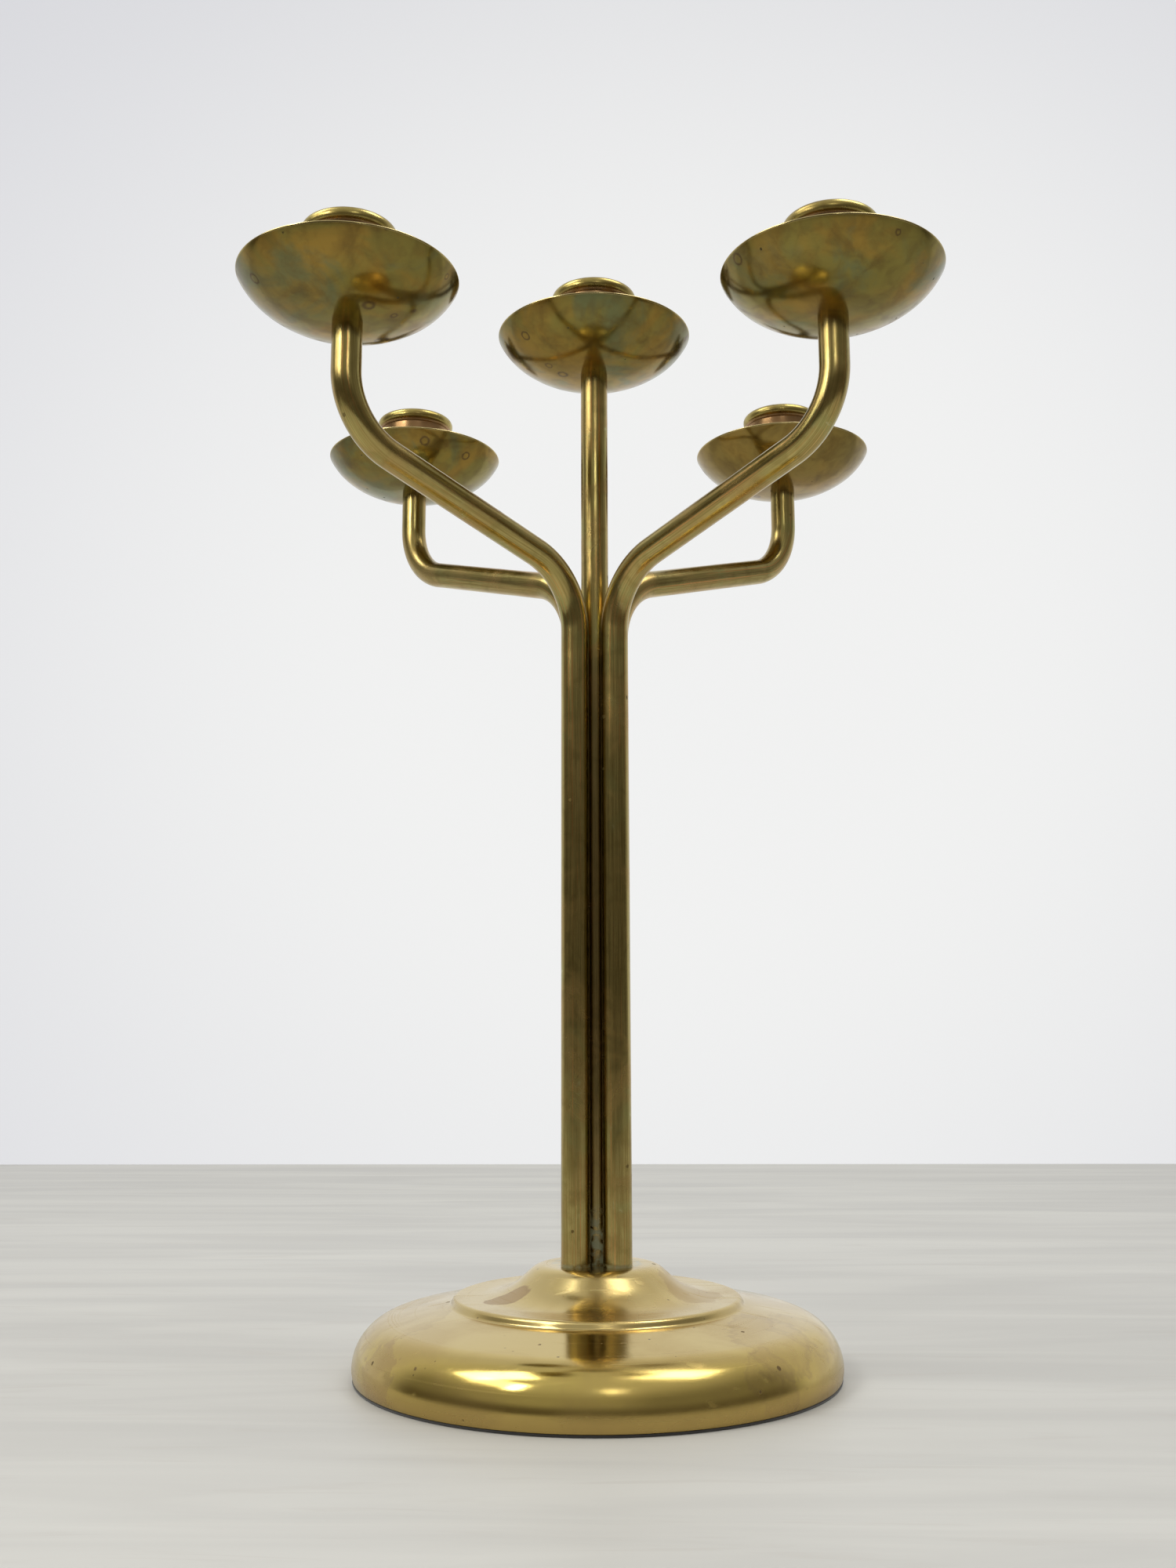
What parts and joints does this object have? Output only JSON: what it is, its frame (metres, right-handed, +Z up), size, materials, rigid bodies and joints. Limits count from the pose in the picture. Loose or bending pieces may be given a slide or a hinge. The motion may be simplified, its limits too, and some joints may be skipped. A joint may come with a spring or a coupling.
{
  "type": "tabletop candelabra",
  "caption": "Brass tabletop candelabra: bent tube arms fan out of a soldered stem on a weighted round base, each ending in a drip pan and a candle cup.",
  "frame": {"origin": "middle of the underside, on the table", "axes": "+Z up, along the centre tube; -Y towards the front, with an arm at 45 degrees either side of it"},
  "size_m": [0.292, 0.292, 0.4972],
  "materials": {
    "felt": "dark felt",
    "cast_iron": "as cast",
    "steel_plate": "mill finish",
    "steel_fixings": "zinc plated",
    "brass_base": "polished, lightly tarnished",
    "solder": "soft solder",
    "brass_pans": "spun, aged olive tarnish",
    "brass_cups": "turned, polished",
    "brass_tubes": "drawn, aged",
    "brass_plugs": "turned"
  },
  "bodies": {
    "root": {"felt_pad": "felt", "base_cover": "steel_plate", "cover_screws": "steel_fixings", "ballast": "cast_iron", "base_shell": "brass_base", "clamp_plate": "steel_plate", "stem_stud": "steel_fixings", "stud_washer": "steel_fixings", "stud_nut": "steel_fixings", "centre_foot_plug": "brass_plugs", "foot_plug_front_left": "brass_plugs", "foot_plug_front_right": "brass_plugs", "foot_plug_back_left": "brass_plugs", "foot_plug_back_right": "brass_plugs", "stem_solder": "solder", "centre_tube": "brass_tubes", "arm_front_left": "brass_tubes", "arm_front_right": "brass_tubes", "arm_back_left": "brass_tubes", "arm_back_right": "brass_tubes", "top_plug_centre": "brass_plugs", "top_plug_front_left": "brass_plugs", "top_plug_front_right": "brass_plugs", "top_plug_back_left": "brass_plugs", "top_plug_back_right": "brass_plugs", "pan_centre": "brass_pans", "pan_front_left": "brass_pans", "pan_front_right": "brass_pans", "pan_back_left": "brass_pans", "pan_back_right": "brass_pans", "cup_centre": "brass_cups", "cup_front_left": "brass_cups", "cup_front_right": "brass_cups", "cup_back_left": "brass_cups", "cup_back_right": "brass_cups", "cup_washers": "brass_plugs", "cup_screws": "steel_fixings"}
  },
  "joints": []
}
